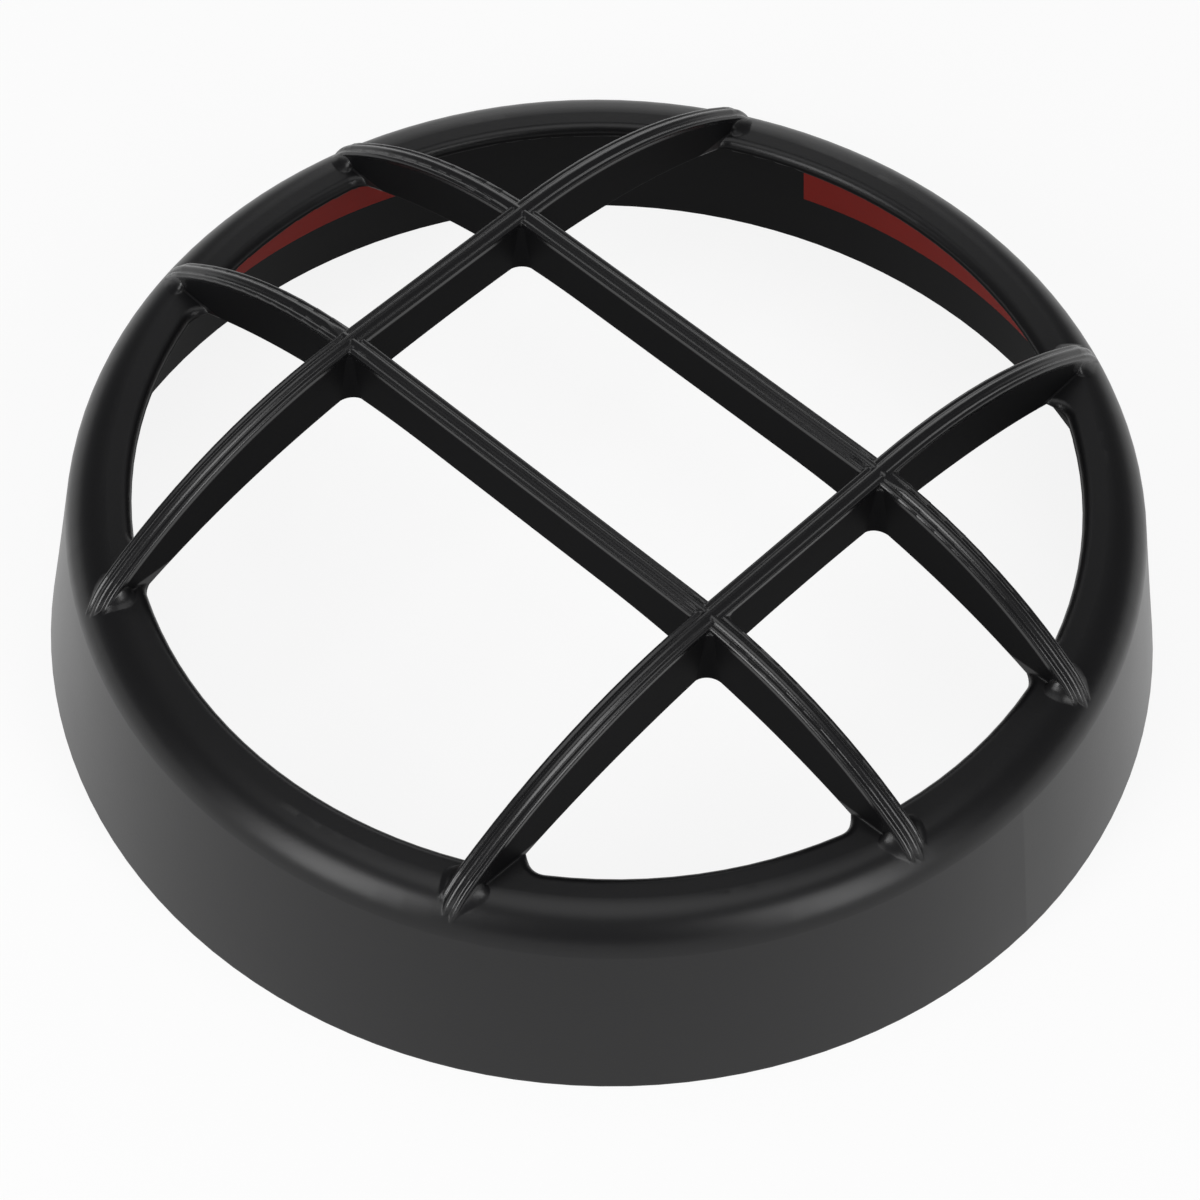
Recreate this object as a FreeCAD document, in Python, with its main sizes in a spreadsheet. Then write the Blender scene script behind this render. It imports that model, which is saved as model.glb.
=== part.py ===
import FreeCAD, Part
import math
import os
import Sketcher
from FreeCAD import Vector

# Motorcycle headlight guard: one moulded cap with a round front opening,
# crossed by two pairs of arched bars, held on the lamp by strips of foam tape.
# Frame: Z up along the lamp's axis, origin at the centre of the rear rim,
# X along the longer pair of bars. Millimetres.

SIZES = [
    ("base_radius", 85.0, "outside of the rear rim"),
    ("draft", 10.1, "degrees that the skirt leans inwards"),
    ("wall", 1.6, "moulded wall, square to the skirt"),
    ("front_wall", 2.2, "moulded wall behind the front face"),
    ("front_height", 32.1, "rear rim to the front face of the ring"),
    ("shoulder_radius", 6.5, "round between skirt and front face"),
    ("inner_shoulder_radius", 4.6, "round inside the shoulder"),
    ("ring_inset", 14.8, "outside of the rear rim to the front opening"),
    ("opening_depth", 10.0, "how far the openings are cut in from the front face"),
    ("lip_rounding", 1.4, "round on the edge of the opening"),
    ("lip_under_rounding", 0.6, "round on its underside"),
    ("rim_corner_radius", 2.6, "corners where a bar meets the ring"),
    ("rim_cut", 10.2, "how far inside the opening's edge its cut starts"),
    ("rim_bar_depth", 6.0, "crest to the front face where a bar meets the opening"),
    ("long_bar_place", 17.9, "middle of the ring to the bars along X"),
    ("short_bar_place", 35.6, "middle of the ring to the bars along Y"),
    ("crest_rise", 16.3, "front face to the top of the bars"),
    ("long_flat", 31.0, "half of the level stretch, bars along X"),
    ("short_flat", 20.0, "half of the level stretch, bars along Y"),
    ("arch_end_reach", 1.06237, "middle of the shoulder's round to the end of the arch"),
    ("arch_end_rise", 2.6, "front face to the end of the arch"),
    ("run_out_radius", 12.5, "bend in which the crest runs into the shoulder"),
    ("run_out_drop", 8.5, "how far below the arch that bend ends"),
    ("bar_width", 3.4, "across a bar at its shoulders"),
    ("bar_draft", 3.5, "degrees that the sides of a bar lean"),
    ("bead_radius", 0.75, "round bead along the crest"),
    ("flute_radius", 0.35, "hollow beside the bead"),
    ("edge_radius", 0.45, "rounded shoulder beside the hollow"),
    ("edge_drop", 0.35, "crest to the top of a rounded shoulder"),
    ("blade_depth", 11.0, "depth of a bar before its underside is cut"),
    ("bar_height", 8.0, "crest to the level underside of a bar"),
    ("underside_flat", 26.0, "radius of that level underside"),
    ("foot_radius", 2.6, "hollow where the side of a bar runs out on the ring"),
    ("foot_sink", 0.05, "how far the edge of that hollow is let into the ring"),
    ("foot_depth", 3.0, "how far its base reaches into the ring"),
    ("web_radius", 3.3, "corner at a crossing, at its foot"),
    ("web_depth", 10.6, "crest to the foot of that corner"),
    ("web_top_radius", 1.2, "the same corner under the shoulders"),
    ("web_top_depth", 1.5, "crest to the top of that corner"),
    ("hidden_lap", 0.08, "how far a corner's arms stay inside a bar"),
    ("tape_width", 9.0, "tape, along the wall"),
    ("tape_height", 14.0, "rear rim to the lower edge of the tape"),
    ("tape_arc", 40.8, "degrees covered by one strip"),
    ("tape_turn", 89.0, "degrees from X to the middle of the first strip"),
    ("foam_thickness", 1.1, "foam tape"),
    ("liner_thickness", 0.15, "release film on the foam"),
]
# Where the hollow at a bar's foot is drawn: how far beyond the end of the arch,
# and how high it climbs the bar's side there.
FOOT_STATIONS = [(-1.9, 0.3), (-0.8, 1.7), (0.9, 1.0), (2.2, 0.3), (3.1, 0.05)]
TAPE_COUNT = 4
SIZE = {name: value for name, value, note in SIZES}


class Term:
    """A measure worked out from the sizes: its number, and the expression that keeps it."""

    def __init__(self, value, text):
        self.value = value
        self.text = text

    def joined(self, sign, other, value):
        right = other.text if isinstance(other, Term) else repr(other)
        return Term(value, "(%s %s %s)" % (self.text, sign, right))

    def __add__(self, other):
        return self.joined("+", other, self.value + plain(other))

    def __sub__(self, other):
        return self.joined("-", other, self.value - plain(other))

    def __mul__(self, other):
        return self.joined("*", other, self.value * plain(other))

    def __truediv__(self, other):
        return self.joined("/", other, self.value / plain(other))


def plain(item):
    return item.value if isinstance(item, Term) else item


def sized(name):
    return Term(SIZE[name], "sizes." + name)


def root(term):
    return Term(math.sqrt(term.value), "sqrt(%s)" % term.text)


def other_leg(hypotenuse, leg):
    return root(hypotenuse * hypotenuse - leg * leg)


def turned_by(name, function):
    """The sine, cosine or tangent of a size that is an angle in degrees."""
    value = getattr(math, function)(math.radians(SIZE[name]))
    return Term(value, "%s(sizes.%s * 1 deg)" % (function, name))


SKIRT_TAN = turned_by("draft", "tan")
SKIRT_COS = turned_by("draft", "cos")
SKIRT_SIN = turned_by("draft", "sin")
SKIRT_TURN = Term(math.radians(90.0 + SIZE["draft"]), "90 deg + sizes.draft * 1 deg")
OPENING_RADIUS = sized("base_radius") - sized("ring_inset")
CUT_RADIUS = OPENING_RADIUS - sized("rim_cut")
CREST = sized("front_height") + sized("crest_rise")
ARCH_END_HEIGHT = sized("front_height") + sized("arch_end_rise")
UNDERSIDE = CREST - sized("bar_height")
ROOF = sized("front_height") - sized("front_wall")


def fill_sheet(doc):
    """Write the driving dimensions, one row each, with an alias to bind to."""
    sheet = doc.addObject("Spreadsheet::Sheet", "sizes")
    for row, (name, value, note) in enumerate(SIZES, start=1):
        sheet.set("A%d" % row, name)
        sheet.set("B%d" % row, str(value))
        sheet.set("C%d" % row, note)
        sheet.setAlias("B%d" % row, name)
    doc.recompute()
    return sheet


def origin_plane(body, role):
    return next(f for f in body.Origin.OriginFeatures if f.Role == role)


def add_sketch(body, name, role, offset=None):
    """Attach a sketch to one of the body's own planes, lifted by an expression."""
    sketch = body.newObject("Sketcher::SketchObject", name)
    sketch.AttachmentSupport = [(origin_plane(body, role), "")]
    sketch.MapMode = "FlatFace"
    if offset:
        sketch.setExpression(".AttachmentOffset.Base.z", offset)
    return sketch


class Outline:
    """Draws a sketch as a chain and ties it down with dimensions that follow the sheet."""

    START, END, CENTRE = range(1, 4)
    ORIGIN = (-1, 1)
    X_AXIS, Y_AXIS = range(-1, -3, -1)

    def __init__(self, sketch):
        self.sketch = sketch

    def line(self, start, end):
        return self.sketch.addGeometry(Part.LineSegment(Vector(*start, 0), Vector(*end, 0)))

    def arc(self, centre, radius, first, last):
        """An arc anticlockwise from the angle first to the angle last, in degrees."""
        circle = Part.Circle(Vector(*centre, 0), Vector(0, 0, 1), radius)
        return self.sketch.addGeometry(
            Part.ArcOfCircle(circle, math.radians(first), math.radians(last)))

    def tie(self, kind, *where):
        return self.sketch.addConstraint(Sketcher.Constraint(kind, *where))

    def join(self, first, first_end, second, second_end):
        self.tie("Coincident", first, first_end, second, second_end)

    def blend(self, first, first_end, second, second_end):
        self.tie("Tangent", first, first_end, second, second_end)

    def size(self, kind, *where, by):
        """Add a dimension with its present value and bind it to the sheet."""
        index = self.tie(kind, *where, by.value)
        self.sketch.setExpression("Constraints[%d]" % index, by.text)

    def place(self, item, end, x=None, y=None):
        """Hold a point at a distance from the origin along X, along Y, or both."""
        if x:
            self.size("DistanceX", *self.ORIGIN, item, end, by=x)
        if y:
            self.size("DistanceY", *self.ORIGIN, item, end, by=y)


def polar(centre, radius, degrees):
    turn = math.radians(degrees)
    return (centre[0] + radius * math.cos(turn), centre[1] + radius * math.sin(turn))


def heading(point):
    return math.degrees(math.atan2(point[1], point[0]))


def numbers(*terms):
    return tuple(plain(term) for term in terms)


def shoulder_centre(side_inset, front_inset, radius):
    """Centre of a round that touches the skirt and the front face, each moved in."""
    height = sized("front_height") - front_inset - radius
    reach = (sized("base_radius") - height * SKIRT_TAN) - (radius + side_inset) / SKIRT_COS
    return (reach, height)


SHOULDER_REACH, SHOULDER_HEIGHT = shoulder_centre(0.0, 0.0, sized("shoulder_radius"))
ARCH_END_RADIUS = SHOULDER_REACH + sized("arch_end_reach")


def revolve(body, kind, name, sketch):
    feature = body.newObject(kind, name)
    feature.Profile = sketch
    feature.ReferenceAxis = (sketch, ["V_Axis"])
    feature.Angle = 360.0
    body.Tip = feature
    return feature


def mirror_both_ways(body, name, originals):
    """Repeat features across both upright planes through the axis."""
    pattern = body.newObject("PartDesign::MultiTransform", name)
    pattern.Originals = originals
    mirrors = []
    for role in ("YZ_Plane", "XZ_Plane"):
        mirror = body.newObject("PartDesign::Mirrored", name + "_" + role[:2])
        mirror.MirrorPlane = (origin_plane(body, role), [""])
        mirrors.append(mirror)
    pattern.Transformations = mirrors
    body.Tip = pattern
    return pattern


def half_width(depth):
    """Half of a bar's width at a depth below its crest."""
    edge = sized("edge_radius")
    start = sized("edge_drop") + edge - edge * turned_by("bar_draft", "sin")
    reach = sized("bar_width") / 2.0 - edge + edge * turned_by("bar_draft", "cos")
    return reach + (depth - start) * turned_by("bar_draft", "tan")


# Cap: skirt, shoulder and front face as one solid of revolution

def cap_blank(body):
    sketch = add_sketch(body, "cap_outline", "XZ_Plane")
    out = Outline(sketch)
    radius = SIZE["shoulder_radius"]
    centre = numbers(SHOULDER_REACH, SHOULDER_HEIGHT)
    base_end = (SIZE["base_radius"], 0.0)
    top = (0.0, SIZE["front_height"])
    base = out.line((0.0, 0.0), base_end)
    skirt = out.line(base_end, polar(centre, radius, SIZE["draft"]))
    shoulder = out.arc(centre, radius, SIZE["draft"], 90.0)
    front = out.line(polar(centre, radius, 90.0), top)
    axis = out.line(top, (0.0, 0.0))
    out.tie("Coincident", base, out.START, *out.ORIGIN)
    out.tie("Horizontal", base)
    out.tie("Horizontal", front)
    out.tie("Vertical", axis)
    out.join(base, out.END, skirt, out.START)
    out.blend(skirt, out.END, shoulder, out.START)
    out.blend(shoulder, out.END, front, out.START)
    out.join(front, out.END, axis, out.START)
    out.join(axis, out.END, base, out.START)
    out.place(base, out.END, x=sized("base_radius"))
    out.place(front, out.END, y=sized("front_height"))
    out.size("Radius", shoulder, by=sized("shoulder_radius"))
    out.size("Angle", skirt, by=SKIRT_TURN)
    return revolve(body, "PartDesign::Revolution", "cap_blank", sketch)


# Front openings: three shapes in one quarter, each with rounded corners at the ring

def rim_corner(out, centre, first, last):
    """The round between the ring and the side of a bar."""
    corner = out.arc(centre, SIZE["rim_corner_radius"], first, last)
    out.size("Radius", corner, by=sized("rim_corner_radius"))
    return corner


def ring_arc(out, first, last):
    arc = out.arc((0.0, 0.0), OPENING_RADIUS.value, first, last)
    out.tie("Coincident", arc, out.CENTRE, *out.ORIGIN)
    out.size("Radius", arc, by=OPENING_RADIUS)
    return arc


def bar_reach():
    """Middle of a bar to where its side stands at the ring."""
    return half_width(sized("rim_bar_depth")) - sized("hidden_lap")


def beside_ring(leg):
    """How far out a corner's centre stands when it touches the ring from inside."""
    return other_leg(OPENING_RADIUS - sized("rim_corner_radius"), leg)


def opening_beyond_short_bar(out):
    """Half of the opening that lies outside a bar along Y."""
    radius = sized("rim_corner_radius")
    side = sized("long_bar_place") - bar_reach()
    centre = numbers(beside_ring(side - radius), side - radius)
    reach = CUT_RADIUS.value
    arc = ring_arc(out, 0.0, heading(centre))
    corner = rim_corner(out, centre, heading(centre), 90.0)
    top = out.line((centre[0], side.value), (reach, side.value))
    inner = out.line((reach, side.value), (reach, 0.0))
    axis = out.line((reach, 0.0), (OPENING_RADIUS.value, 0.0))
    out.blend(arc, out.END, corner, out.START)
    out.blend(corner, out.END, top, out.START)
    out.join(top, out.END, inner, out.START)
    out.join(inner, out.END, axis, out.START)
    out.join(axis, out.END, arc, out.START)
    out.tie("Horizontal", top)
    out.tie("Vertical", inner)
    out.tie("PointOnObject", axis, out.START, out.X_AXIS)
    out.tie("PointOnObject", axis, out.END, out.X_AXIS)
    out.place(top, out.START, y=side)
    out.place(inner, out.END, x=CUT_RADIUS)


def opening_beyond_long_bar(out):
    """Half of the opening that lies outside a bar along X."""
    radius = sized("rim_corner_radius")
    side = sized("short_bar_place") - bar_reach()
    start = other_leg(CUT_RADIUS, side)
    centre = numbers(side - radius, beside_ring(side - radius))
    arc = ring_arc(out, heading(centre), 90.0)
    axis = out.line((0.0, OPENING_RADIUS.value), (0.0, start.value))
    inner = out.line((0.0, start.value), (side.value, start.value))
    flank = out.line((side.value, start.value), (side.value, centre[1]))
    corner = rim_corner(out, centre, 0.0, heading(centre))
    out.join(arc, out.END, axis, out.START)
    out.join(axis, out.END, inner, out.START)
    out.join(inner, out.END, flank, out.START)
    out.blend(flank, out.END, corner, out.START)
    out.blend(corner, out.END, arc, out.START)
    out.tie("Vertical", flank)
    out.tie("Horizontal", inner)
    out.tie("PointOnObject", axis, out.START, out.Y_AXIS)
    out.tie("PointOnObject", axis, out.END, out.Y_AXIS)
    out.place(flank, out.START, x=side)
    out.place(inner, out.END, y=start)


def opening_in_corner(out):
    """The opening that lies outside both bars."""
    radius = sized("rim_corner_radius")
    low = sized("long_bar_place") + bar_reach()
    near = sized("short_bar_place") + bar_reach()
    upper = numbers(near + radius, beside_ring(near + radius))
    lower = numbers(beside_ring(low + radius), low + radius)
    rise = other_leg(CUT_RADIUS, near)
    run = other_leg(CUT_RADIUS, low)
    arc = ring_arc(out, heading(lower), heading(upper))
    first = rim_corner(out, upper, heading(upper), 180.0)
    flank = out.line((near.value, upper[1]), numbers(near, rise))
    inner = out.line(numbers(near, rise), numbers(run, low))
    bottom = out.line(numbers(run, low), (lower[0], low.value))
    last = rim_corner(out, lower, -90.0, heading(lower))
    out.blend(arc, out.END, first, out.START)
    out.blend(first, out.END, flank, out.START)
    out.join(flank, out.END, inner, out.START)
    out.join(inner, out.END, bottom, out.START)
    out.blend(bottom, out.END, last, out.START)
    out.blend(last, out.END, arc, out.START)
    out.tie("Vertical", flank)
    out.tie("Horizontal", bottom)
    out.place(flank, out.END, x=near, y=rise)
    out.place(bottom, out.START, x=run, y=low)


def rim_openings(body):
    sketch = add_sketch(body, "rim_openings_outline", "XY_Plane", "sizes.front_height")
    out = Outline(sketch)
    opening_beyond_short_bar(out)
    opening_beyond_long_bar(out)
    opening_in_corner(out)
    pocket = body.newObject("PartDesign::Pocket", "rim_openings")
    pocket.Profile = sketch
    pocket.setExpression("Length", "sizes.opening_depth")
    body.Tip = pocket
    return pocket


def lip_round(body, support):
    """Round the front edge of the openings; the round runs on through their corners."""
    height = SIZE["front_height"]
    near = 1e-6
    edges = []
    for number, edge in enumerate(support.Shape.Edges, start=1):
        box = edge.BoundBox
        level = abs(box.ZMax - height) + abs(box.ZMin - height) < near
        if level and isinstance(edge.Curve, Part.Circle):
            if abs(edge.Curve.Radius - OPENING_RADIUS.value) < near:
                edges.append("Edge%d" % number)
    fillet = body.newObject("PartDesign::Fillet", "lip_round")
    fillet.Base = (support, edges)
    fillet.setExpression("Radius", "sizes.lip_rounding")
    body.Tip = fillet
    return fillet


# Bars: one fluted section swept along an arch that ends in the shoulder

def bar_section(sketch, place):
    """Bead, two hollows and two rounded shoulders over leaning sides."""
    out = Outline(sketch)
    bead_radius = SIZE["bead_radius"]
    flute_radius = SIZE["flute_radius"]
    edge_radius = SIZE["edge_radius"]
    lean = SIZE["bar_draft"]
    edge_reach = SIZE["bar_width"] / 2.0 - edge_radius
    edge_fall = SIZE["edge_drop"] + edge_radius - bead_radius
    gap = math.hypot(edge_reach, edge_fall)
    near = bead_radius + flute_radius
    far = edge_radius + flute_radius
    along = (near ** 2 - far ** 2 + gap ** 2) / (2.0 * gap)
    to_flute = heading((edge_reach, -edge_fall)) + math.degrees(math.acos(along / near))
    flute = polar((0.0, -bead_radius), near, to_flute)
    edge = (edge_reach, -bead_radius - edge_fall)
    to_edge = heading((edge[0] - flute[0], edge[1] - flute[1]))
    half_foot = half_width(sized("blade_depth"))

    def right(point):
        return (place.value + point[0], CREST.value + point[1])

    def left(point):
        return (place.value - point[0], CREST.value + point[1])

    foot_right = right((half_foot.value, -SIZE["blade_depth"]))
    foot_left = left((half_foot.value, -SIZE["blade_depth"]))
    bead = out.arc(right((0.0, -bead_radius)), bead_radius, to_flute, 180.0 - to_flute)
    right_flute = out.arc(right(flute), flute_radius, 180.0 + to_flute, 360.0 + to_edge)
    left_flute = out.arc(left(flute), flute_radius, 180.0 - to_edge, 360.0 - to_flute)
    right_edge = out.arc(right(edge), edge_radius, lean, 180.0 + to_edge)
    left_edge = out.arc(left(edge), edge_radius, -to_edge, 180.0 - lean)
    right_wall = out.line(polar(right(edge), edge_radius, lean), foot_right)
    left_wall = out.line(polar(left(edge), edge_radius, 180.0 - lean), foot_left)
    foot = out.line(foot_right, foot_left)

    out.blend(bead, out.START, right_flute, out.START)
    out.blend(bead, out.END, left_flute, out.END)
    out.blend(right_flute, out.END, right_edge, out.END)
    out.blend(left_flute, out.START, left_edge, out.START)
    out.blend(right_edge, out.START, right_wall, out.START)
    out.blend(left_edge, out.END, left_wall, out.START)
    out.join(right_wall, out.END, foot, out.START)
    out.join(left_wall, out.END, foot, out.END)
    out.size("Radius", bead, by=sized("bead_radius"))
    for item in (right_flute, left_flute):
        out.size("Radius", item, by=sized("flute_radius"))
    for item in (right_edge, left_edge):
        out.size("Radius", item, by=sized("edge_radius"))
    edge_height = CREST - sized("edge_drop") - sized("edge_radius")
    edge_place = sized("bar_width") / 2.0 - sized("edge_radius")
    foot_height = CREST - sized("blade_depth")
    out.place(bead, out.CENTRE, x=place, y=CREST - sized("bead_radius"))
    out.place(right_edge, out.CENTRE, x=place + edge_place, y=edge_height)
    out.place(left_edge, out.CENTRE, x=place - edge_place, y=edge_height)
    out.place(right_wall, out.END, x=place + half_foot, y=foot_height)
    out.place(left_wall, out.END, x=place - half_foot, y=foot_height)


class Bar:
    """One bar: where it stands, and the half of its crest line that reaches the ring."""

    def __init__(self, title, place_name, flat_name, section_role, path_role, path_side):
        self.title = title
        self.place = sized(place_name)
        self.flat = sized(flat_name)
        self.section_role = section_role
        self.path_role = path_role
        self.path_offset = path_side + self.place.text
        self.station_side = "" if path_side else "-"
        self.reach = other_leg(ARCH_END_RADIUS, self.place)

    def path(self, body):
        """Level, then a wide arc down to the ring, then a bend into its shoulder."""
        sketch = add_sketch(body, self.title + "_path", self.path_role, self.path_offset)
        out = Outline(sketch)
        top = (self.flat.value, CREST.value)
        end = numbers(self.reach, ARCH_END_HEIGHT)
        run = end[0] - top[0]
        fall = top[1] - end[1]
        radius = (run ** 2 + fall ** 2) / (2.0 * fall)
        slope = 2.0 * math.degrees(math.atan2(fall, run))
        bend = SIZE["run_out_radius"]
        last = math.degrees(math.acos(
            math.cos(math.radians(slope)) - SIZE["run_out_drop"] / bend))
        level = out.line((0.0, top[1]), top)
        arch = out.arc((top[0], top[1] - radius), radius, 90.0 - slope, 90.0)
        dive = out.arc(polar(end, -bend, 90.0 - slope), bend, 90.0 - last, 90.0 - slope)
        out.tie("Horizontal", level)
        out.tie("PointOnObject", level, out.START, out.Y_AXIS)
        out.blend(arch, out.END, level, out.END)
        out.blend(dive, out.END, arch, out.START)
        out.place(level, out.END, x=self.flat, y=CREST)
        out.place(arch, out.START, x=self.reach, y=ARCH_END_HEIGHT)
        out.size("Radius", dive, by=sized("run_out_radius"))
        out.place(dive, out.START, y=ARCH_END_HEIGHT - sized("run_out_drop"))
        return sketch

    def blade(self, body):
        section = add_sketch(body, self.title + "_section", self.section_role)
        bar_section(section, self.place)
        bar = body.newObject("PartDesign::AdditivePipe", self.title)
        bar.Profile = section
        bar.Spine = self.path(body)
        body.Tip = bar
        return bar

    def foot(self, body):
        """Hollows on both sides, where the bar runs out on the ring, as one loft."""
        sketches = []
        for number, (beyond, climb) in enumerate(FOOT_STATIONS, start=1):
            station = other_leg(ARCH_END_RADIUS + beyond, self.place)
            name = "%s_foot_%d" % (self.title, number)
            sketch = add_sketch(body, name, self.section_role, self.station_side + station.text)
            foot_section(Outline(sketch), self.place, station, climb)
            sketches.append(sketch)
        loft = body.newObject("PartDesign::AdditiveLoft", self.title + "_foot")
        loft.Profile = sketches[0]
        loft.Sections = sketches[1:]
        body.Tip = loft
        return loft


def ring_height(along, across):
    """Height of the ring's front at a place on it."""
    reach = root(along * along + across * across)
    if reach.value <= SHOULDER_REACH.value:
        return sized("front_height")
    return other_leg(sized("shoulder_radius"), reach - SHOULDER_REACH) + SHOULDER_HEIGHT


class Hollow:
    """One side of a bar's foot: an arc from the bar's side out to the ring."""

    def __init__(self, place, station, climb, side):
        radius = sized("foot_radius")
        wall = place + sized("bar_width") / 2.0 * side
        span = radius / 2.0
        level = ring_height(station, wall)
        tilt = (ring_height(station, wall + span * side) - level) / span
        slant = root(tilt * tilt + 1.0)
        rise = Term(climb, repr(climb)) / slant
        run = (root(radius * rise * 2.0 - rise * rise) + rise * tilt) / slant
        ground = level - sized("foot_sink")
        self.radius = radius
        self.centre = (wall + (run - radius * tilt / slant) * side,
                       ground + run * tilt + radius / slant)
        self.top = (wall, ground + climb)
        self.toe = (wall + run * side, ground + run * tilt)

    def turn_to(self, point):
        """Direction from the arc's centre to one of its ends."""
        x, y = numbers(point[0] - self.centre[0], point[1] - self.centre[1])
        return heading((x, y)) % 360.0

    def draw(self, out, first, last):
        centre = numbers(*self.centre)
        return out.arc(centre, self.radius.value, self.turn_to(first), self.turn_to(last))

    def hold(self, out, arc, top_end, toe_end):
        """Bind the arc: its radius, its centre, how high it starts and how far out it ends."""
        out.size("Radius", arc, by=self.radius)
        out.place(arc, out.CENTRE, x=self.centre[0], y=self.centre[1])
        out.place(arc, top_end, y=self.top[1])
        out.place(arc, toe_end, x=self.toe[0])


def foot_section(out, place, station, climb):
    """A hollow on each side that leaves the bar upright and meets the ring almost level."""
    base = ring_height(station, place) - sized("foot_depth")
    right = Hollow(place, station, climb, 1.0)
    left = Hollow(place, station, climb, -1.0)
    low_right = numbers(right.toe[0], base)
    low_left = numbers(left.toe[0], base)
    right_arc = right.draw(out, right.top, right.toe)
    right_drop = out.line(numbers(*right.toe), low_right)
    bottom = out.line(low_right, low_left)
    left_rise = out.line(low_left, numbers(*left.toe))
    left_arc = left.draw(out, left.toe, left.top)
    cover = out.line(numbers(*left.top), numbers(*right.top))
    out.join(cover, out.END, right_arc, out.START)
    out.join(right_arc, out.END, right_drop, out.START)
    out.join(right_drop, out.END, bottom, out.START)
    out.join(bottom, out.END, left_rise, out.START)
    out.join(left_rise, out.END, left_arc, out.START)
    out.join(left_arc, out.END, cover, out.START)
    right.hold(out, right_arc, out.START, out.END)
    left.hold(out, left_arc, out.END, out.START)
    out.tie("Vertical", right_drop)
    out.tie("Vertical", left_rise)
    out.tie("Horizontal", bottom)
    out.place(bottom, out.START, y=base)


# Crossings: corners that are tight under the shoulders and round at the underside

def cross_outline(body, name, depth_name, radius_name):
    """A cross with one rounded corner in each quarter."""
    sketch = add_sketch(body, name, "XY_Plane", (CREST - sized(depth_name)).text)
    out = Outline(sketch)
    middle = (sized("short_bar_place"), sized("long_bar_place"))
    radius = sized(radius_name)
    half = half_width(sized(depth_name)) - sized("hidden_lap")
    off = half + radius
    arm = off + sized("hidden_lap")

    def turned(along, across, quarter):
        along, across = numbers(along, across)
        for _ in range(quarter):
            along, across = -across, along
        return (middle[0].value + along, middle[1].value + across)

    corners = []
    arms = []
    low_half = half * -1.0
    for quarter in range(4):
        centre = turned(off, off, quarter)
        first = 180.0 + 90.0 * quarter
        corners.append(out.arc(centre, radius.value, first, first + 90.0))
        upper = out.line(turned(off, half, quarter), turned(arm, half, quarter))
        tip = out.line(turned(arm, half, quarter), turned(arm, low_half, quarter))
        lower = out.line(turned(arm, low_half, quarter), turned(off, low_half, quarter))
        arms.append((upper, tip, lower))
    for quarter in range(4):
        corner = corners[quarter]
        upper, tip, lower = arms[quarter]
        centre = turned(off, off, quarter)
        out.blend(corner, out.END, upper, out.START)
        out.join(upper, out.END, tip, out.START)
        out.join(tip, out.END, lower, out.START)
        out.blend(lower, out.END, corners[quarter - 1], out.START)
        out.tie("Vertical" if quarter % 2 == 0 else "Horizontal", tip)
        out.size("Distance", upper, by=sized("hidden_lap"))
        out.size("Radius", corner, by=radius)
        out.place(corner, out.CENTRE,
                  x=middle[0] + off if centre[0] > middle[0].value else middle[0] - off,
                  y=middle[1] + off if centre[1] > middle[1].value else middle[1] - off)
    return sketch


def crossing(body):
    foot = cross_outline(body, "crossing_foot", "web_depth", "web_radius")
    top = cross_outline(body, "crossing_top", "web_top_depth", "web_top_radius")
    loft = body.newObject("PartDesign::AdditiveLoft", "crossing")
    loft.Profile = foot
    loft.Sections = [top]
    loft.Ruled = True
    body.Tip = loft
    return loft


# Cavity: the space for the lamp, with the arched underside of the bars as its roof

def cavity(body):
    sketch = add_sketch(body, "cavity_outline", "XZ_Plane")
    out = Outline(sketch)
    radius = sized("inner_shoulder_radius")
    mouth = sized("base_radius") - sized("wall") / SKIRT_COS
    nose = sized("lip_under_rounding")
    lip = (OPENING_RADIUS, ROOF + nose)
    nose_centre = OPENING_RADIUS + nose
    centre = numbers(*shoulder_centre(sized("wall"), sized("front_wall"), radius))
    base_end = (mouth.value, 0.0)
    flat = SIZE["underside_flat"]
    run = lip[0].value - flat
    fall = UNDERSIDE.value - lip[1].value
    arch_radius = (run ** 2 + fall ** 2) / (2.0 * fall)
    arch_centre = (flat, UNDERSIDE.value - arch_radius)
    steep = heading((run, lip[1].value - arch_centre[1]))
    peak = (0.0, UNDERSIDE.value)

    base = out.line((0.0, 0.0), base_end)
    side = out.line(base_end, polar(centre, radius.value, SIZE["draft"]))
    shoulder = out.arc(centre, radius.value, SIZE["draft"], 90.0)
    ceiling = out.line(polar(centre, radius.value, 90.0), numbers(nose_centre, ROOF))
    under_nose = out.arc(numbers(nose_centre, lip[1]), nose.value, 180.0, 270.0)
    arch = out.arc(arch_centre, arch_radius, steep, 90.0)
    level = out.line((flat, UNDERSIDE.value), peak)
    axis = out.line(peak, (0.0, 0.0))
    out.tie("Coincident", base, out.START, *out.ORIGIN)
    for item in (base, ceiling, level):
        out.tie("Horizontal", item)
    out.tie("Vertical", axis)
    out.join(base, out.END, side, out.START)
    out.blend(side, out.END, shoulder, out.START)
    out.blend(shoulder, out.END, ceiling, out.START)
    out.blend(ceiling, out.END, under_nose, out.END)
    out.join(under_nose, out.START, arch, out.START)
    out.blend(arch, out.END, level, out.START)
    out.join(level, out.END, axis, out.START)
    out.join(axis, out.END, base, out.START)
    out.place(base, out.END, x=mouth)
    out.size("Angle", side, by=SKIRT_TURN)
    out.size("Radius", shoulder, by=radius)
    out.place(ceiling, out.END, x=nose_centre, y=ROOF)
    out.size("Radius", under_nose, by=nose)
    out.place(under_nose, out.START, y=lip[1])
    out.place(level, out.START, x=sized("underside_flat"), y=UNDERSIDE)
    return revolve(body, "PartDesign::Groove", "cavity", sketch)


# Tape: strips of foam on the inner wall, each with its release film still on

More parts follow.
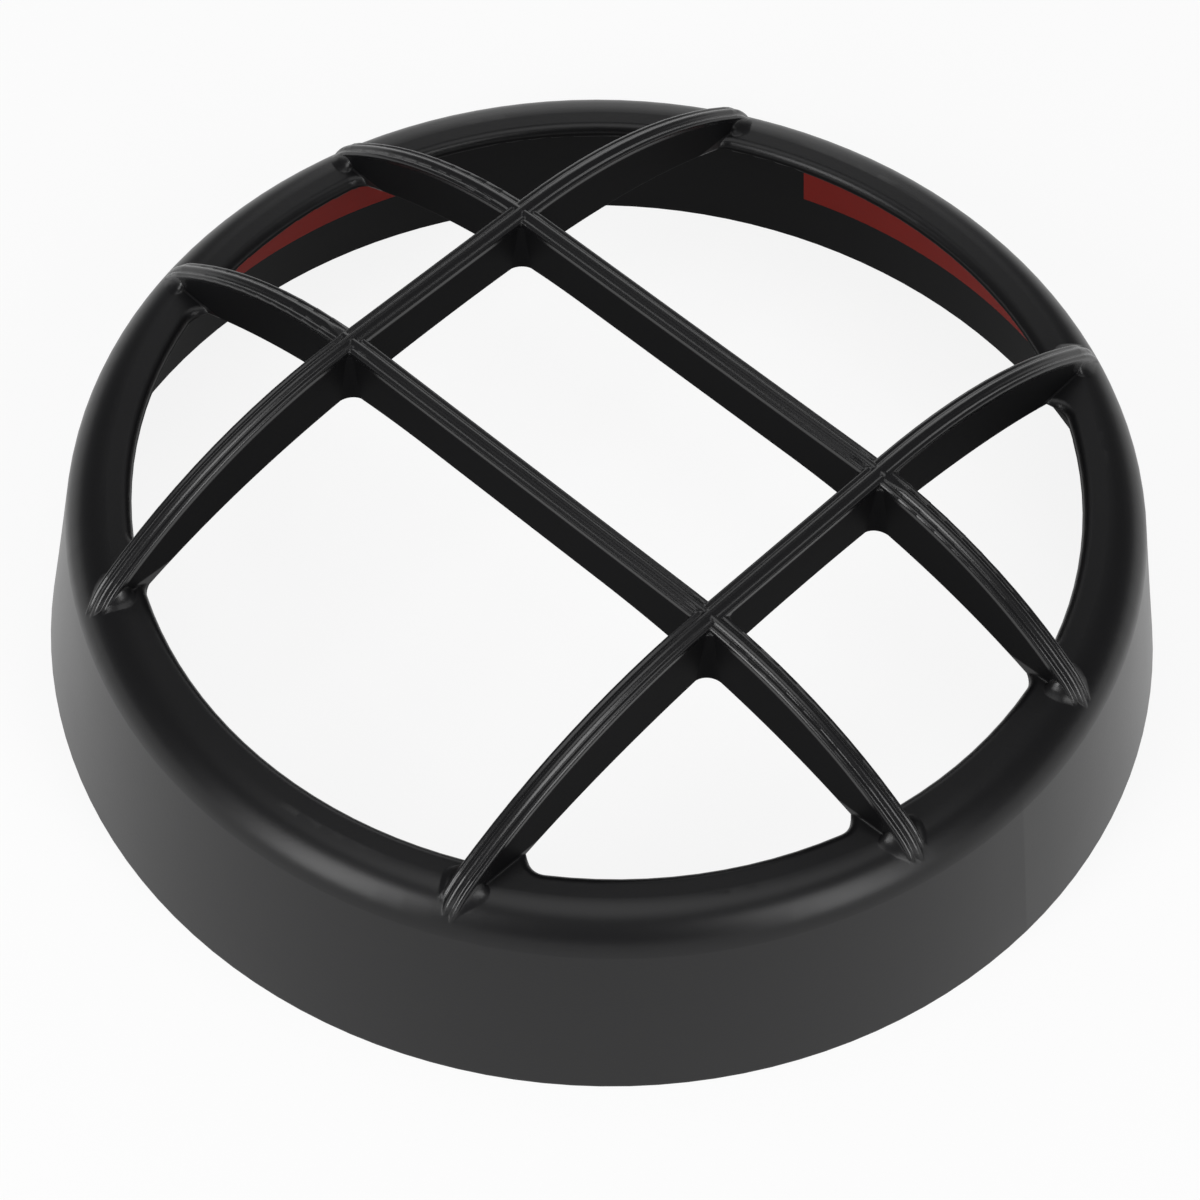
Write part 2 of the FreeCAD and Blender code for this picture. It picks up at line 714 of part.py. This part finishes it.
def tape_strip(doc, label, index, inset, thickness_name):
    """One layer of a strip, lying on the wall or on the layer below it."""
    body = doc.addObject("PartDesign::Body", label)
    sketch = add_sketch(body, label + "_outline", "XZ_Plane")
    out = Outline(sketch)
    width = SIZE["tape_width"]
    thickness = SIZE[thickness_name]
    up = 90.0 + SIZE["draft"]
    inward = 180.0 + SIZE["draft"]
    inner_wall = (sized("base_radius") - sized("tape_height") * SKIRT_TAN
                  - sized("wall") / SKIRT_COS)
    start = (inner_wall - SKIRT_COS * inset, sized("tape_height") - SKIRT_SIN * inset)
    first = numbers(*start)
    second = polar(first, width, up)
    third = polar(second, thickness, inward)
    last = polar(first, thickness, inward)
    back = out.line(first, second)
    upper = out.line(second, third)
    face = out.line(third, last)
    lower = out.line(last, first)
    chain = (back, upper, face, lower)
    for number, item in enumerate(chain):
        out.join(item, out.END, chain[(number + 1) % len(chain)], out.START)
    out.tie("Perpendicular", back, upper)
    out.tie("Perpendicular", upper, face)
    out.tie("Perpendicular", face, lower)
    out.size("Angle", back, by=SKIRT_TURN)
    out.size("Distance", back, by=sized("tape_width"))
    out.size("Distance", upper, by=sized(thickness_name))
    out.place(back, out.START, x=start[0], y=start[1])
    layer = revolve(body, "PartDesign::Revolution", label + "_layer", sketch)
    layer.setExpression("Angle", "sizes.tape_arc")
    layer.Midplane = True
    body.Placement = FreeCAD.Placement(
        Vector(0.0, 0.0, 0.0),
        FreeCAD.Rotation(Vector(0.0, 0.0, 1.0), SIZE["tape_turn"] + 360.0 / TAPE_COUNT * index))
    return body


def checked(doc, bodies):
    """Stop the build if any feature failed or any solid is not sound."""
    doc.recompute()
    for item in doc.Objects:
        for state in item.State:
            if state in ("Invalid", "Error"):
                raise RuntimeError("%s is %s" % (item.Name, state))
    for body in bodies:
        shape = body.Shape
        if shape.isNull() or not shape.isValid() or len(shape.Solids) != 1:
            raise RuntimeError("%s is not one sound solid" % body.Label)


def must_change(before, after, name):
    """Stop the build if a step that should add or cut material did neither."""
    if abs(after - before) < 1.0:
        raise RuntimeError("%s changed nothing" % name)
    return after


def build():
    os.makedirs("parts", exist_ok=True)
    doc = FreeCAD.newDocument("guard")
    fill_sheet(doc)
    body = doc.addObject("PartDesign::Body", "headlight_guard")
    blank = cap_blank(body)
    doc.recompute()
    volume = blank.Shape.Volume
    opening = rim_openings(body)
    doc.recompute()
    volume = must_change(volume, opening.Shape.Volume, "the openings")
    openings = mirror_both_ways(body, "openings_all_round", [opening])
    doc.recompute()
    lip_round(body, openings)
    doc.recompute()
    volume = body.Shape.Volume

    bars = (Bar("long_bar", "long_bar_place", "long_flat", "YZ_Plane", "XZ_Plane", "-"),
            Bar("short_bar", "short_bar_place", "short_flat", "XZ_Plane", "YZ_Plane", ""))
    features = []
    for step in (Bar.blade, Bar.foot):
        for bar in bars:
            features.append(step(bar, body))
            doc.recompute()
            volume = must_change(volume, body.Shape.Volume, features[-1].Name)
    features.append(crossing(body))
    doc.recompute()
    volume = must_change(volume, body.Shape.Volume, "the crossing")
    mirror_both_ways(body, "grille", features)
    doc.recompute()
    volume = must_change(volume, body.Shape.Volume, "the other bars")
    cavity(body)
    doc.recompute()
    must_change(volume, body.Shape.Volume, "the cavity")

    bodies = [body]
    for index in range(TAPE_COUNT):
        number = index + 1
        bodies.append(tape_strip(doc, "tape_foam_%d" % number, index,
                                 0.0, "foam_thickness"))
        bodies.append(tape_strip(doc, "tape_liner_%d" % number, index,
                                 sized("foam_thickness"), "liner_thickness"))
    checked(doc, bodies)
    for item in bodies:
        item.Shape.exportStep("parts/%s.step" % item.Label)


build()
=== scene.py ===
import logging
import math
from dataclasses import dataclass, field
from typing import Any, Union

import bmesh
import bpy
from mathutils import Matrix, Vector

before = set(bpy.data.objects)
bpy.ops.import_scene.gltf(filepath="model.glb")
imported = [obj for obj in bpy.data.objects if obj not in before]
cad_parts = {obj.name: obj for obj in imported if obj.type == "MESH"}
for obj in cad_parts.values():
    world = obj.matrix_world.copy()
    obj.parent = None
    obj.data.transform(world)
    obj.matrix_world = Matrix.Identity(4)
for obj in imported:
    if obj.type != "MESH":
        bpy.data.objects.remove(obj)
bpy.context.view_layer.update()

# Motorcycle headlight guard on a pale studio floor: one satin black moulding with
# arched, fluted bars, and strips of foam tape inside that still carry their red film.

log = logging.getLogger("guard")

GUARD_NODE = "headlight_guard"
FOAM_NODE = "tape_foam_"
FILM_NODE = "tape_liner_"
MILLIMETRE = 0.001

# Places of the sockets that a Mix node uses for colours.
MIX_SHARE, MIX_FIRST, MIX_SECOND, MIX_RESULT = 0, 6, 7, 2

Point = tuple[float, float, float]
Colour = tuple[float, float, float, float]
Operand = Union["Wire", float]

ORIGIN: Point = (0.0, 0.0, 0.0)
UPRIGHT: Point = (0.0, 0.0, 1.0)


class Wire:
    """A node's output that takes part in plain sums, so shader maths reads as maths."""

    def __init__(self, sheet: "NodeSheet", socket: bpy.types.NodeSocket) -> None:
        """Hold the output socket and the sheet that its sums are drawn on."""
        self.sheet = sheet
        self.socket = socket

    def _sum(self, operation: str, first: Operand, second: Operand = 0.0) -> "Wire":
        """Draw one Math node and return its output."""
        settings = {"operation": operation}
        return self.sheet.node("ShaderNodeMath", settings, {0: first, 1: second}).wire("Value")

    def __add__(self, other: Operand) -> "Wire":
        """This plus other."""
        return self._sum("ADD", self, other)

    def __radd__(self, other: Operand) -> "Wire":
        """Other plus this."""
        return self._sum("ADD", other, self)

    def __sub__(self, other: Operand) -> "Wire":
        """This less other."""
        return self._sum("SUBTRACT", self, other)

    def __rsub__(self, other: Operand) -> "Wire":
        """Other less this."""
        return self._sum("SUBTRACT", other, self)

    def __mul__(self, other: Operand) -> "Wire":
        """This times other."""
        return self._sum("MULTIPLY", self, other)

    def __rmul__(self, other: Operand) -> "Wire":
        """Other times this."""
        return self._sum("MULTIPLY", other, self)

    def __abs__(self) -> "Wire":
        """This without its sign."""
        return self._sum("ABSOLUTE", self)

    def at_most(self, other: Operand) -> "Wire":
        """The smaller of this and other."""
        return self._sum("MINIMUM", self, other)

    def at_least(self, other: Operand) -> "Wire":
        """The larger of this and other."""
        return self._sum("MAXIMUM", self, other)

    def root(self) -> "Wire":
        """The square root."""
        return self._sum("SQRT", self)

    def rise(self, low: float, high: float) -> "Wire":
        """0 up to low, 1 from high, and a straight climb between."""
        sockets = {"Value": self, "From Min": low, "From Max": high}
        return self.sheet.node("ShaderNodeMapRange", {}, sockets).wire("Result")


class Drawn:
    """A node that has been drawn, with its outputs given as wires."""

    def __init__(self, sheet: "NodeSheet", node: bpy.types.Node) -> None:
        """Hold the node and its sheet."""
        self.sheet = sheet
        self.node = node

    def wire(self, name: Union[str, int]) -> Wire:
        """The output of that name or number."""
        return Wire(self.sheet, self.node.outputs[name])


@dataclass(frozen=True)
class Cloud:
    """A soft random field.

    Its cell is the size of its largest blotches, in metres. It has so many finer layers,
    and rough says how strong those are.
    """

    cell: float
    layers: float
    rough: float = 0.5


class NodeSheet:
    """The node tree of one material or of the world, drawn from empty."""

    def __init__(self, tree: bpy.types.NodeTree) -> None:
        """Clear the tree."""
        self.tree = tree
        tree.nodes.clear()

    def node(self, kind: str, settings: dict[str, Any],
             sockets: dict[Union[str, int], Any]) -> Drawn:
        """Draw one node.

        Args:
            kind: Blender's name of the node type.
            settings: the node's own settings, which are set first.
            sockets: a value or a wire for each input, by name or number.

        Returns:
            The drawn node.
        """
        node = self.tree.nodes.new(kind)
        for name, value in settings.items():
            setattr(node, name, value)
        for name, value in sockets.items():
            if isinstance(value, Wire):
                self.tree.links.new(value.socket, node.inputs[name])
            else:
                node.inputs[name].default_value = value
        return Drawn(self, node)

    def place(self) -> Wire:
        """The point on the piece, in metres in the object's own frame."""
        return self.node("ShaderNodeTexCoord", {}, {}).wire("Object")

    def axes(self, place: Wire) -> tuple[Wire, Wire, Wire]:
        """The three numbers of a point."""
        parts = self.node("ShaderNodeSeparateXYZ", {}, {"Vector": place})
        return parts.wire("X"), parts.wire("Y"), parts.wire("Z")

    def noise(self, place: Wire, cloud: Cloud) -> Wire:
        """Lay a random field over the piece.

        Args:
            place: where it is read.
            cloud: how large and how fine it is.

        Returns:
            The field, from 0 to 1 and mostly near a half.
        """
        sockets = {"Vector": place, "Scale": 1.0 / cloud.cell, "Detail": cloud.layers,
                   "Roughness": cloud.rough}
        return self.node("ShaderNodeTexNoise", {}, sockets).wire("Fac")

    def blend(self, share: Wire, first: Colour, second: Colour) -> Wire:
        """Mix two colours.

        Args:
            share: field from 0 to 1.
            first: the colour where it is 0.
            second: the colour where it is 1.

        Returns:
            The colour between them.
        """
        settings = {"data_type": "RGBA", "blend_type": "MIX"}
        sockets = {MIX_SHARE: share, MIX_FIRST: first, MIX_SECOND: second}
        return self.node("ShaderNodeMix", settings, sockets).wire(MIX_RESULT)

    def relief(self, height: Wire, depth: float, **under: Wire) -> Wire:
        """Raise a surface normal by a height field.

        Args:
            height: the field.
            depth: what a step from 0 to 1 of it stands for, in metres.
            under: the Normal that it is raised on, where that isn't the mesh's own.

        Returns:
            The raised normal.
        """
        sockets = {"Height": height, "Distance": depth, "Strength": 1.0, **under}
        return self.node("ShaderNodeBump", {}, sockets).wire("Normal")

    def eased(self, radius: float, samples: int) -> Wire:
        """A normal that runs round edges and corners within a radius in metres."""
        sockets = {"Radius": radius}
        return self.node("ShaderNodeBevel", {"samples": samples}, sockets).wire("Normal")

    def plastic(self, sockets: dict[str, Any]) -> Wire:
        """One Principled surface."""
        return self.node("ShaderNodeBsdfPrincipled", {}, sockets).wire("BSDF")

    def mixed(self, share: Wire, first: Wire, second: Wire) -> Wire:
        """A surface between first, at a share of 0, and second, at 1."""
        sockets = {0: share, 1: first, 2: second}
        return self.node("ShaderNodeMixShader", {}, sockets).wire("Shader")

    def finish(self, surface: Wire) -> None:
        """End the sheet in a surface."""
        self.node("ShaderNodeOutputMaterial", {}, {"Surface": surface})


def opaque(red: float, green: float, blue: float) -> Colour:
    """A solid colour, in linear light."""
    return (red, green, blue, 1.0)


def new_material(name: str) -> tuple[bpy.types.Material, NodeSheet]:
    """Make an empty material.

    Args:
        name: what it is called.

    Returns:
        The material and the sheet that it is drawn on.
    """
    material = bpy.data.materials.new(name)
    material.use_nodes = True
    return material, NodeSheet(material.node_tree)


def dress(node: bpy.types.Object, material: bpy.types.Material) -> None:
    """Put a finish into the slots of a node that came with the frame.

    Args:
        node: the node's object, whose mesh stays as it is.
        material: the finish.
    """
    if not node.material_slots:
        node.data.materials.append(material)
    for slot in node.material_slots:
        slot.link = "OBJECT"
        slot.material = material


@dataclass(frozen=True)
class BarLine:
    """One pair of bars, in metres.

    It stands at a place either side of the middle. Its crest is level as far as flat, and
    from there it falls along an arch of that radius.
    """

    place: float
    flat: float
    arch: float


@dataclass(frozen=True)
class GuardShape:
    """The sizes of the moulding that its finish follows, in metres.

    The shoulder's round is drawn about a core at round_reach and round_height. Skin that
    lies less than middle from that core faces into the cap, and skin beyond outside
    stands proud of it.
    """

    lean: float = math.tan(math.radians(10.1))
    round_reach: float = 73.84 * MILLIMETRE
    round_height: float = 25.6 * MILLIMETRE
    middle: float = 5.3 * MILLIMETRE
    outside: float = 6.7 * MILLIMETRE
    crest: float = 48.4 * MILLIMETRE
    ring: float = 32.1 * MILLIMETRE
    bars_end: float = 72.5 * MILLIMETRE
    end_fade: float = 0.9 * MILLIMETRE
    half_bar: float = 1.75 * MILLIMETRE
    bar_reach: float = 2.6 * MILLIMETRE
    shoulders: float = 1.15 * MILLIMETRE
    long_bars: BarLine = BarLine(17.9 * MILLIMETRE, 31.0 * MILLIMETRE, 70.4 * MILLIMETRE)
    short_bars: BarLine = BarLine(35.6 * MILLIMETRE, 20.0 * MILLIMETRE, 83.7 * MILLIMETRE)
    soft_edge: float = 0.3 * MILLIMETRE

    def dull_side_with_painted_shade(self, place: Wire) -> Wire:
        """Find where the surface faces into the cap or is the side of a bar.
        There the moulding gets a duller, darker finish that is partly painted shade.

        Args:
            place: the point on the surface.

        Returns:
            1 on those surfaces and 0 on the show side.
        """
        x, y, z = place.sheet.axes(place)
        inside = 1.0 - self._past(self._skin(x, y, z), self.middle)
        on_bar = self._past(z, self.ring + self.soft_edge)
        reach = self._length(x, y)
        short_of_end = 1.0 - reach.rise(self.bars_end, self.bars_end + self.end_fade)
        side = self._past(self._depth(x, y, z), self.shoulders)
        return inside.at_least(on_bar * short_of_end * side)

    def raised(self, place: Wire) -> Wire:
        """Find the bars, out to their tips.

        Args:
            place: the point on the surface.

        Returns:
            1 on the bars, and 0 on the cap and on the feet beside them.
        """
        x, y, z = place.sheet.axes(place)
        off_bar = self._off_line(y, self.long_bars).at_most(self._off_line(x, self.short_bars))
        on_bar = 1.0 - self._past(off_bar, self.half_bar)
        return on_bar * self._past(self._skin(x, y, z), self.outside)

    def _past(self, measure: Wire, edge: float) -> Wire:
        """0 up to an edge and 1 past it, with a short climb after the edge."""
        return measure.rise(edge, edge + self.soft_edge)

    @staticmethod
    def _length(first: Wire, second: Wire) -> Wire:
        """Length of the line that has these two legs."""
        return (first * first + second * second).root()

    @staticmethod
    def _off_line(across: Wire, line: BarLine) -> Wire:
        """Distance from the middle of the nearer bar of a pair."""
        return abs(abs(across) - line.place)

    def _skin(self, x: Wire, y: Wire, z: Wire) -> Wire:
        """Measure how far out a point lies from the core of the shoulder's round.

        Args:
            x: the point's place along the long bars.
            y: its place along the short bars.
            z: its height.

        Returns:
            The distance, which below the round is read square to the leaning wall.
        """
        outward = self._length(x, y) + z.at_most(self.round_height) * self.lean
        beyond = (outward - (self.round_reach + self.round_height * self.lean)).at_least(0.0)
        above = (z - self.round_height).at_least(0.0)
        return self._length(beyond, above)

    def _depth(self, x: Wire, y: Wire, z: Wire) -> Wire:
        """Measure how far a point lies below the crest of the bar that it belongs to.

        Args:
            x: the point's place along the long bars.
            y: its place along the short bars.
            z: its height.

        Returns:
            The distance from that crest.
        """
        on_short = self._past(self._off_line(y, self.long_bars), self.bar_reach)
        return (self._below(self.long_bars, abs(x), z) * (1.0 - on_short)
                + self._below(self.short_bars, abs(y), z) * on_short)

    def _below(self, line: BarLine, along: Wire, z: Wire) -> Wire:
        """Measure the distance from one bar's crest.

        Args:
            line: the pair that the bar is one of.
            along: the point's place along the bar, from its middle.
            z: its height.

        Returns:
            The distance, square to the crest.
        """
        past = (along - line.flat).at_least(0.0)
        up = z + (line.arch - self.crest)
        return line.arch - self._length(past, up)


@dataclass(frozen=True)
class Sheen:
    """How one side of the moulding takes the light."""

    dark: Colour
    light: Colour
    rough_low: float
    rough_high: float
    specular: float

    def surface(self, sheet: NodeSheet, share: Wire, normal: Wire) -> Wire:
        """Draw the side's own surface.

        Args:
            sheet: the sheet that it is drawn on.
            share: field from 0 to 1 by which colour and roughness vary.
            normal: the surface's normal, with its grain if it has one.

        Returns:
            The surface's shader.
        """
        return sheet.plastic({
            "Base Color": sheet.blend(share, self.dark, self.light),
            "Roughness": share * (self.rough_high - self.rough_low) + self.rough_low,
            "Specular IOR Level": self.specular,
            "Normal": normal,
        })


@dataclass(frozen=True)
class MouldedBlack:
    """Satin black plastic, with the fine even grain that its mould was blasted with.

    The show side is satin. The inner side and the sides of the bars are duller and a little
    darker: partly a duller finish, partly painted shade where those surfaces lie in shade.
    The crests of the bars are burnished. The depths of grain and ripple are in millimetres.
    """

    show_side: Sheen = Sheen(opaque(0.0042, 0.0042, 0.0046), opaque(0.0066, 0.0065, 0.0070),
                             rough_low=0.29, rough_high=0.38, specular=0.29)
    # Duller and slightly darker than the show side: a duller finish, and painted shade inside the
    # cap and on the sides of the bars.
    dull_side_with_painted_shade: Sheen = Sheen(opaque(0.0036, 0.0036, 0.0039), opaque(0.0055, 0.0055, 0.0059),
                              rough_low=0.52, rough_high=0.64, specular=0.035)
    crests: Sheen = Sheen(opaque(0.0042, 0.0042, 0.0046), opaque(0.0066, 0.0065, 0.0070),
                          rough_low=0.22, rough_high=0.27, specular=0.48)
    shape: GuardShape = GuardShape()
    grain: Cloud = Cloud(0.42 * MILLIMETRE, layers=2.0, rough=0.62)
    ripple: Cloud = Cloud(7.0 * MILLIMETRE, layers=1.0)
    bloom: Cloud = Cloud(26.0 * MILLIMETRE, layers=2.0)
    grain_depth: float = 0.008
    ripple_depth: float = 0.010
    grain_share: float = 0.4
    edge_radius: float = 0.35 * MILLIMETRE
    edge_samples: int = 8

    def material(self) -> bpy.types.Material:
        """Draw the finish.

        Returns:
            The finish as a material.
        """
        material, sheet = new_material("moulded_black")
        place = sheet.place()
        grain = sheet.noise(place, self.grain)
        ripple = sheet.noise(place, self.ripple)
        bloom = sheet.noise(place, self.bloom)
        share = (bloom * (1.0 - self.grain_share) + grain * self.grain_share).at_most(1.0)
        height = grain * self.grain_depth + ripple * self.ripple_depth
        edges = sheet.eased(self.edge_radius, self.edge_samples)
        normal = sheet.relief(height, MILLIMETRE, Normal=edges)
        show = self.show_side.surface(sheet, share, normal)
        dull_and_painted_shade = self.dull_side_with_painted_shade.surface(sheet, share, normal)
        crests = self.crests.surface(sheet, bloom, edges)
        outer = sheet.mixed(self.shape.raised(place), show, crests)
        # The duller, darker finish paints shade into the cap and onto the sides of the bars.
        sheet.finish(sheet.mixed(self.shape.dull_side_with_painted_shade(place), outer, dull_and_painted_shade))
        return material


@dataclass(frozen=True)
class FoamTape:
    """Dark closed-cell foam: its cut edges show small round cells,
    painted darker towards their middles as shade in the pits.
    """

    wall: Colour = opaque(0.030, 0.030, 0.032)
    # The colour at the middle of each cell: painted shade in the pit.
    cell: Colour = opaque(0.010, 0.010, 0.011)
    cell_size: float = 0.35 * MILLIMETRE
    cell_depth: float = 0.06 * MILLIMETRE
    cell_scatter: float = 0.9
    roughness: float = 0.85

    def material(self) -> bpy.types.Material:
        """Draw the finish.

        Returns:
            The finish as a material.
        """
        material, sheet = new_material("foam_tape")
        sockets = {"Vector": sheet.place(), "Scale": 1.0 / self.cell_size,
                   "Randomness": self.cell_scatter}
        # Distance from each cell's middle, which both presses the pits in and paints shade into
        # them.
        pits_and_pit_shade = sheet.node("ShaderNodeTexVoronoi", {"feature": "F1"}, sockets).wire("Distance")
        sheet.finish(sheet.plastic({
            "Base Color": sheet.blend(pits_and_pit_shade, self.cell, self.wall),
            "Roughness": self.roughness,
            "Normal": sheet.relief(pits_and_pit_shade, self.cell_depth),
        }))
        return material


@dataclass(frozen=True)
class ReleaseFilm:
    """Brick-red release film, thin and half matte, slightly uneven where it lies on foam."""

    shade: Colour = opaque(0.153, 0.0076, 0.0044)
    lit: Colour = opaque(0.221, 0.0113, 0.0064)
    fibres: Cloud = Cloud(0.6 * MILLIMETRE, layers=3.0, rough=0.7)
    waves: Cloud = Cloud(9.0 * MILLIMETRE, layers=1.0)
    fibre_share: float = 0.7
    wave_depth: float = 0.06 * MILLIMETRE
    rough_low: float = 0.50
    rough_high: float = 0.62
    specular: float = 0.06

    def material(self) -> bpy.types.Material:
        """Draw the finish.

        Returns:
            The finish as a material.
        """
        material, sheet = new_material("release_film")
        place = sheet.place()
        fibres = sheet.noise(place, self.fibres)
        waves = sheet.noise(place, self.waves)
        share = fibres * self.fibre_share + waves * (1.0 - self.fibre_share)
        sheet.finish(sheet.plastic({
            "Base Color": sheet.blend(share, self.shade, self.lit),
            "Roughness": fibres * (self.rough_high - self.rough_low) + self.rough_low,
            "Specular IOR Level": self.specular,
            "Normal": sheet.relief(waves, self.wave_depth),
        }))
        return material


@dataclass
class Moulding:
    """The guard itself: skirt, ring and bars in one piece."""

    finish: MouldedBlack = field(default_factory=MouldedBlack)

    def build(self) -> list[bpy.types.Object]:
        """Dress the moulding.

        Returns:
            Its one node.
        """
        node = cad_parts[GUARD_NODE]
        dress(node, self.finish.material())
        return [node]


@dataclass
class FixingTape:
    """The strips of foam on the inner wall, each under its release film."""

    foam: FoamTape = field(default_factory=FoamTape)
    film: ReleaseFilm = field(default_factory=ReleaseFilm)

    def build(self) -> list[bpy.types.Object]:
        """Dress every strip and its film.

        Returns:
            The nodes of the strips and films.
        """
        finishes = {FOAM_NODE: self.foam.material(), FILM_NODE: self.film.material()}
        dressed = []
        for name, node in sorted(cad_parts.items()):
            for start, material in finishes.items():
                if name.startswith(start):
                    dress(node, material)
                    dressed.append(node)
        return dressed


@dataclass(frozen=True)
class Softbox:
    """One studio lamp with a cloth front: its place and size in metres, its power in watts."""

    name: str
    place: Point
    width: float
    length: float
    power: float
    aim: Point = (0.0, 0.0, 0.02)

    def build(self) -> bpy.types.Object:
        """Hang the lamp and turn its front to the point it is aimed at.

        Returns:
            The lamp's object.
        """
        lamp = bpy.data.lights.new(self.name, "AREA")
        lamp.shape = "RECTANGLE"
        lamp.size = self.width
        lamp.size_y = self.length
        lamp.energy = self.power
        holder = bpy.data.objects.new(self.name, lamp)
        bpy.context.scene.collection.objects.link(holder)
        holder.location = self.place
        away = Vector(self.place) - Vector(self.aim)
        holder.rotation_mode = "QUATERNION"
        holder.rotation_quaternion = away.to_track_quat("Z", "Y")
        holder.visible_camera = False
        return holder


@dataclass
class Studio:
    """Pale floor that turns up into a low wall all round, a dim room and its lamps."""

    floor_radius: float = 2.6
    bend_radius: float = 0.3
    wall_height: float = 0.32
    steps_round: int = 96
    bend_steps: int = 12
    room: Colour = opaque(0.16, 0.16, 0.165)
    paper: Colour = opaque(0.86, 0.86, 0.86)
    glow: float = 0.88
    lamps: tuple[Softbox, ...] = (
        Softbox("softbox_top", (0.0, 0.0, 1.50), width=1.05, length=1.05, power=6.2),
        Softbox("softbox_left", (-0.061, -1.086, 0.55), width=0.42, length=0.95, power=9.8),
        Softbox("softbox_right", (1.083, -0.099, 0.55), width=0.42, length=0.95, power=7.4),
        Softbox("softbox_back", (-0.785, 0.878, 0.55), width=0.70, length=0.80, power=2.6),
    )

    def build(self) -> None:
        """Set up the floor, the room and the lamps."""
        self._floor()
        self._room()
        for lamp in self.lamps:
            lamp.build()

    def _floor(self) -> None:
        """Turn the floor's profile once round the upright axis."""
        shape = bmesh.new()
        bend_at = self.floor_radius - self.bend_radius
        chain = [shape.verts.new(ORIGIN), shape.verts.new((bend_at, 0.0, 0.0))]
        for step in range(1, self.bend_steps + 1):
            turn = math.radians(90.0) * step / self.bend_steps
            chain.append(shape.verts.new((bend_at + self.bend_radius * math.sin(turn), 0.0,
                                          self.bend_radius * (1.0 - math.cos(turn)))))
        chain.append(shape.verts.new((self.floor_radius, 0.0, self.wall_height)))
        edges = [shape.edges.new(pair) for pair in zip(chain, chain[1:])]
        bmesh.ops.spin(shape, geom=chain + edges, cent=ORIGIN, axis=UPRIGHT,
                       angle=math.radians(360.0), steps=self.steps_round, use_merge=True)
        bmesh.ops.remove_doubles(shape, verts=shape.verts[:], dist=MILLIMETRE)
        bmesh.ops.recalc_face_normals(shape, faces=shape.faces[:])
        mesh = bpy.data.meshes.new("studio_floor")
        shape.to_mesh(mesh)
        shape.free()
        mesh.shade_smooth()
        floor = bpy.data.objects.new("studio_floor", mesh)
        bpy.context.scene.collection.objects.link(floor)
        mesh.materials.append(self._paper())

    def _paper(self) -> bpy.types.Material:
        """Draw white paper that looks white in view and in reflections, and keeps shadows.

        Returns:
            The paper as a material.
        """
        material, sheet = new_material("studio_paper")
        matt = sheet.node("ShaderNodeBsdfDiffuse", {}, {"Color": self.paper}).wire("BSDF")
        glow = sheet.node("ShaderNodeEmission", {}, {"Strength": 1.0}).wire("Emission")
        sheet.finish(sheet.mixed(self._seen(sheet) * self.glow, matt, glow))
        return material

    @staticmethod
    def _seen(sheet: NodeSheet) -> Wire:
        """Tell what is looked at from what only sends light on.

        Args:
            sheet: the sheet that the answer is drawn on.

        Returns:
            1 for what is seen, straight or in a reflection or through glass.
        """
        path = sheet.node("ShaderNodeLightPath", {}, {})
        seen = path.wire("Is Camera Ray") + path.wire("Is Glossy Ray")
        return (seen + path.wire("Is Transmission Ray")).at_most(1.0)

    def _room(self) -> None:
        """Fill the room above the wall with a dim even light."""
        world = bpy.data.worlds.new("studio_room")
        world.use_nodes = True
        sheet = NodeSheet(world.node_tree)
        room = sheet.node("ShaderNodeBackground", {}, {"Color": self.room, "Strength": 1.0})
        sheet.node("ShaderNodeOutputWorld", {}, {"Surface": room.wire("Background")})
        bpy.context.scene.world = world
        bpy.context.scene.view_settings.view_transform = "Standard"


@dataclass(frozen=True)
class PhotoCamera:
    """The camera where the photograph was taken from: angles in degrees, film in mm."""

    azimuth: float = 41.83
    elevation: float = 53.31
    distance: float = 532.6 * MILLIMETRE
    aim: Point = (9.31 * MILLIMETRE, -11.19 * MILLIMETRE, 20.0 * MILLIMETRE)
    roll: float = 2.16
    focal_pixels: float = 3599.0
    frame_pixels: float = 1200.0
    film_width: float = 36.0

    def build(self) -> bpy.types.Object:
        """Make the camera and hand it to the scene.

        Returns:
            The camera's object.
        """
        turn = math.radians(self.azimuth)
        rise = math.radians(self.elevation)
        roll = math.radians(self.roll)
        back = Vector((math.sin(turn) * math.cos(rise), -math.cos(turn) * math.cos(rise),
                       math.sin(rise)))
        level = (-back).cross(Vector(UPRIGHT)).normalized()
        upright = level.cross(-back)
        right = level * math.cos(roll) + upright * math.sin(roll)
        up = upright * math.cos(roll) - level * math.sin(roll)
        data = bpy.data.cameras.new("photo_camera")
        data.sensor_width = self.film_width
        data.lens = self.focal_pixels / self.frame_pixels * self.film_width
        camera = bpy.data.objects.new("photo_camera", data)
        bpy.context.scene.collection.objects.link(camera)
        turned = Matrix((right, up, back)).transposed().to_4x4()
        camera.matrix_world = Matrix.Translation(Vector(self.aim) + back * self.distance) @ turned
        bpy.context.scene.camera = camera
        return camera


def main() -> None:
    """Build the parts of the scene in order and report each piece."""
    logging.basicConfig(level=logging.INFO, format="%(name)s: %(message)s")
    PhotoCamera().build()
    Studio().build()
    for part in (Moulding(), FixingTape()):
        for piece in part.build():
            log.info("%s: %s, %d faces", type(part).__name__, piece.name,
                     len(piece.data.polygons))


if __name__ == "__main__":
    main()
